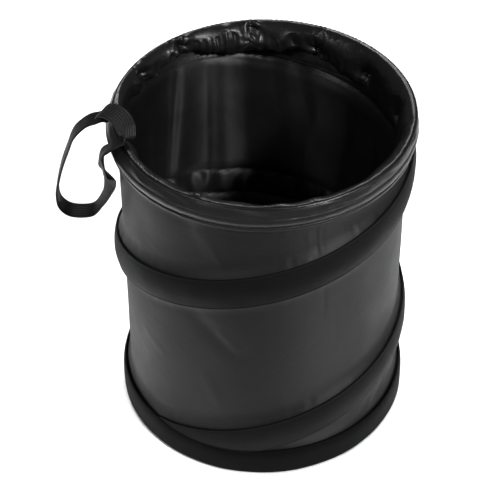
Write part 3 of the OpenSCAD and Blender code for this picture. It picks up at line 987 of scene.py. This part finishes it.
def stitches(name, lines, spacing, length, body, folds=None):
    """One piece of all the stitches on a set of seams, each a run of points in mm. folds, where
    given, goes to flattened, which gives the piece its own mesh."""
    verts, edges = [], []
    for line in lines:
        start = len(verts)
        verts += (np.asarray(line) * MM).tolist()
        edges += [(i, i + 1) for i in range(start, len(verts) - 1)]
    mesh = bpy.data.meshes.new(name)
    mesh.from_pydata(verts, edges, [])
    obj = placed(name, mesh)
    mod = obj.modifiers.new("stitch_row", "NODES")
    mod.node_group = STITCH_TREE
    keys = {s.name: s.identifier for s in STITCH_TREE.interface.items_tree
            if s.in_out == "INPUT"}
    mod[keys["Spacing"]], mod[keys["Length"]] = spacing * MM, length * MM
    mod[keys["Thickness"]], mod[keys["Thread"]] = THREAD_MM * MM, THREAD
    smooth(baked(obj))
    layers = obj.data.uv_layers
    if not layers:
        layers.new(name="cloth")
    layers[0].name = "cloth"
    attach(obj, body)
    if folds:
        flattened(obj, *folds)


SEAM_AZ = np.linspace(0, 360, 720)


def ring_line(r, z):
    """Level seam round the bin."""
    return polar(SEAM_AZ, r, z)


def rim_line(r, z):
    """Seam on the top of the rim, which leans and dips with it."""
    out = r + rim_lean(SEAM_AZ, z) - NIP * by_strap(SEAM_AZ)
    return polar(SEAM_AZ, out, z - under_strap(SEAM_AZ, z))


def sleeve_seams(s, r, low, high):
    """Both seams of the spiral's sleeve, at a radius, between two heights."""
    turn, mid = spiral_angle(s), spiral_z(s)
    rows = []
    for side in (-1, 1):
        z = mid + side * (SLEEVE / 2 - 1.6)
        ok = (z > low) & (z < high)
        rows.append(polar(turn[ok], r, z[ok]))
    return rows


def build_stitches(s):
    stitches("sleeve_stitches", sleeve_seams(s, SEAT_R + 0.25, BASE_BAND + 1.5, RIM_LOW - 2.2),
             STITCH_STEP, 2.3, "base", COIL)
    stitches("lining_stitches", sleeve_seams(s, LINING_R - FABRIC - 0.25, 12, RIM_LOW - 4),
             STITCH_STEP, 2.3, "base", (FLOOR_Z, WALL_TOP, WALL_TOP - COLLAPSE))
    stitches("foot_stitches", [ring_line(SEAT_R + 1.05, BASE_BAND - 1.6)], STITCH_STEP, 2.4,
             "base")
    stitches("rim_stitches", [rim_line(96.8, 240.35), ring_line(SEAT_R + 0.1, RIM_SEAM_Z)],
             3.4, 2.6, "rim")


# Studio

def build_stage():
    """Pale paper under the bin."""
    paper, _, shader = blank("matt_paper_sweep")
    shader.inputs["Base Color"].default_value = colour("#f4f4f4")
    shader.inputs["Roughness"].default_value = 0.9
    half = 6
    ground = bpy.data.meshes.new("floor")
    ground.from_pydata([(-half, -half, 0), (half, -half, 0), (half, half, 0), (-half, half, 0)],
                       [], [(0, 1, 2, 3)])
    ground.materials.append(paper)
    floor = placed("floor", ground)
    return floor


def collected(name, objects):
    """Collection outside the scene that names what a light is linked to."""
    made = bpy.data.collections.new(name)
    for obj in objects:
        made.objects.link(obj)
    return made


def light_studio(floor):
    """A dim room, soft boxes at both sides and behind, and one overhead for the paper alone."""
    world = bpy.data.worlds.new("studio")
    world.use_nodes = True
    sky = world.node_tree.nodes["Background"].inputs
    sky["Color"].default_value = colour("#f4f5f7")
    sky["Strength"].default_value = 0.25
    bpy.context.scene.world = world
    bpy.context.scene.view_settings.view_transform = "Standard"
    wall_middle = (0, 0, 0.19)
    softbox("right_box", (1.02, -0.94, 1.35), wall_middle, (0.44, 0.44), 0.94, spread=12)
    softbox("left_box", (-0.98, -0.92, 1.3), wall_middle, (0.44, 0.44), 0.19, spread=12)
    softbox("back_box", (0.1, 0.95, 1.05), (0, -0.08, 0.24), (0.9, 0.7), 0.7, spread=14)
    overhead = softbox("paper_box", (0, 0.47, 1.35), (0, 0.47, 0), (1.5, 1.24), 7.2, spread=5)
    overhead.light_linking.receiver_collection = collected("paper_only", [floor])
    # The strap's own shadow on the paper is left out, as it is in the photograph
    shades = [bpy.data.objects[name] for name in ("outer_wall", "foot_band", "rim_casing_cloth")]
    overhead.light_linking.blocker_collection = collected("paper_shading", shades)


def dress(name, material):
    """Gives one of the frame's own nodes its material."""
    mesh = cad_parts[name].data
    mesh.materials.clear()
    mesh.materials.append(material)


# The whole

build_wall()
build_lining()
build_base_band()
build_casing()
sleeve_run = build_sleeve()
build_wire()
build_facing()
build_strap()
build_stitches(sleeve_run)
dress("base_hoop", STEEL)
dress("rim_hoop", STEEL)
dress("floor_panel", BAND_CLOTH)
light_studio(build_stage())
